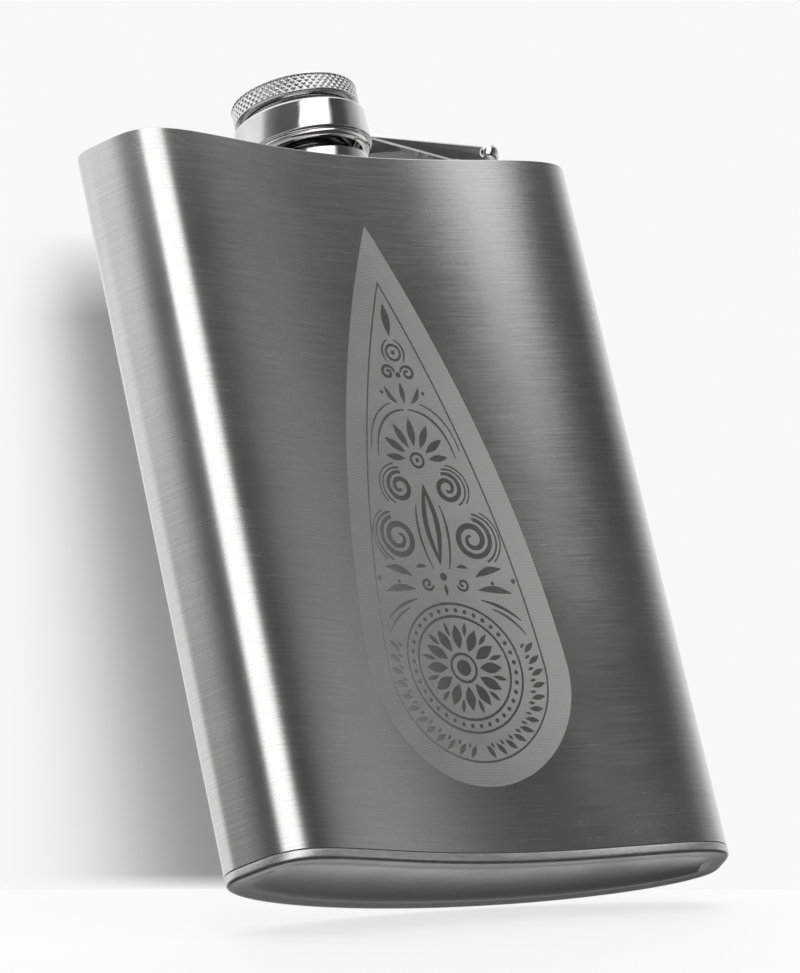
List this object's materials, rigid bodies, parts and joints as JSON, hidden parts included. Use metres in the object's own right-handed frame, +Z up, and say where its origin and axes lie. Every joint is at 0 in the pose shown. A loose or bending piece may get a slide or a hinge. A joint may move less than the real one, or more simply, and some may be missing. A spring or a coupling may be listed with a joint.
{
  "type": "hip flask",
  "caption": "Kidney-section stainless steel hip flask with a hollow front, welded plates and a knurled screw cap held captive by a hinged arm.",
  "frame": {"origin": "middle of the flask's box at the base, on the surface it stands on", "axes": "+Z up to the cap, +X towards the hinge, -Y out of the hollow front, +Y out of the bulged back"},
  "size_m": [0.0954, 0.0262, 0.1393],
  "materials": {
    "brushed_body": "satin, brushed round the body, with a pale matte etched ornament on the hollow front",
    "ground_plate": "ground satin, fine scratches, bright weld line at the rim",
    "polished_steel": "mirror polished stainless",
    "knurled_steel": "bright steel with a fine diamond knurl",
    "silicone": "milky silicone disc"
  },
  "bodies": {
    "flask": {"body_shell": "brushed_body", "base_plate": "ground_plate", "top_plate": "ground_plate", "neck": "polished_steel", "neck_shoulder": "polished_steel", "hinge_bracket": "polished_steel", "hinge_pin": "polished_steel"},
    "arm": {"hinge_arm": "polished_steel", "collar_ring": "polished_steel"},
    "seal": {"cap_seal": "silicone"},
    "cap": {"cap_top": "knurled_steel", "cap_insert": "polished_steel"}
  },
  "joints": [
    {"name": "arm_hinge", "type": "hinge", "parent": "flask", "child": "arm", "pos_m": [0.036, 0.00175, 0.1303], "axis": [0, 1, 0], "range_deg": [0, 180]},
    {"name": "cap_lift", "type": "slide", "parent": "arm", "child": "seal", "axis": [0, 0, 1], "range_m": [0, 0.003]},
    {"name": "cap_spin", "type": "hinge", "parent": "seal", "child": "cap", "pos_m": [0, 0.00175, 0.136], "axis": [0, 0, 1], "range_deg": [0, 720]}
  ],
  "couplings": [
    {"joint": "cap_lift", "follows": "cap_spin", "m_per_rad": 0.00023873}
  ]
}
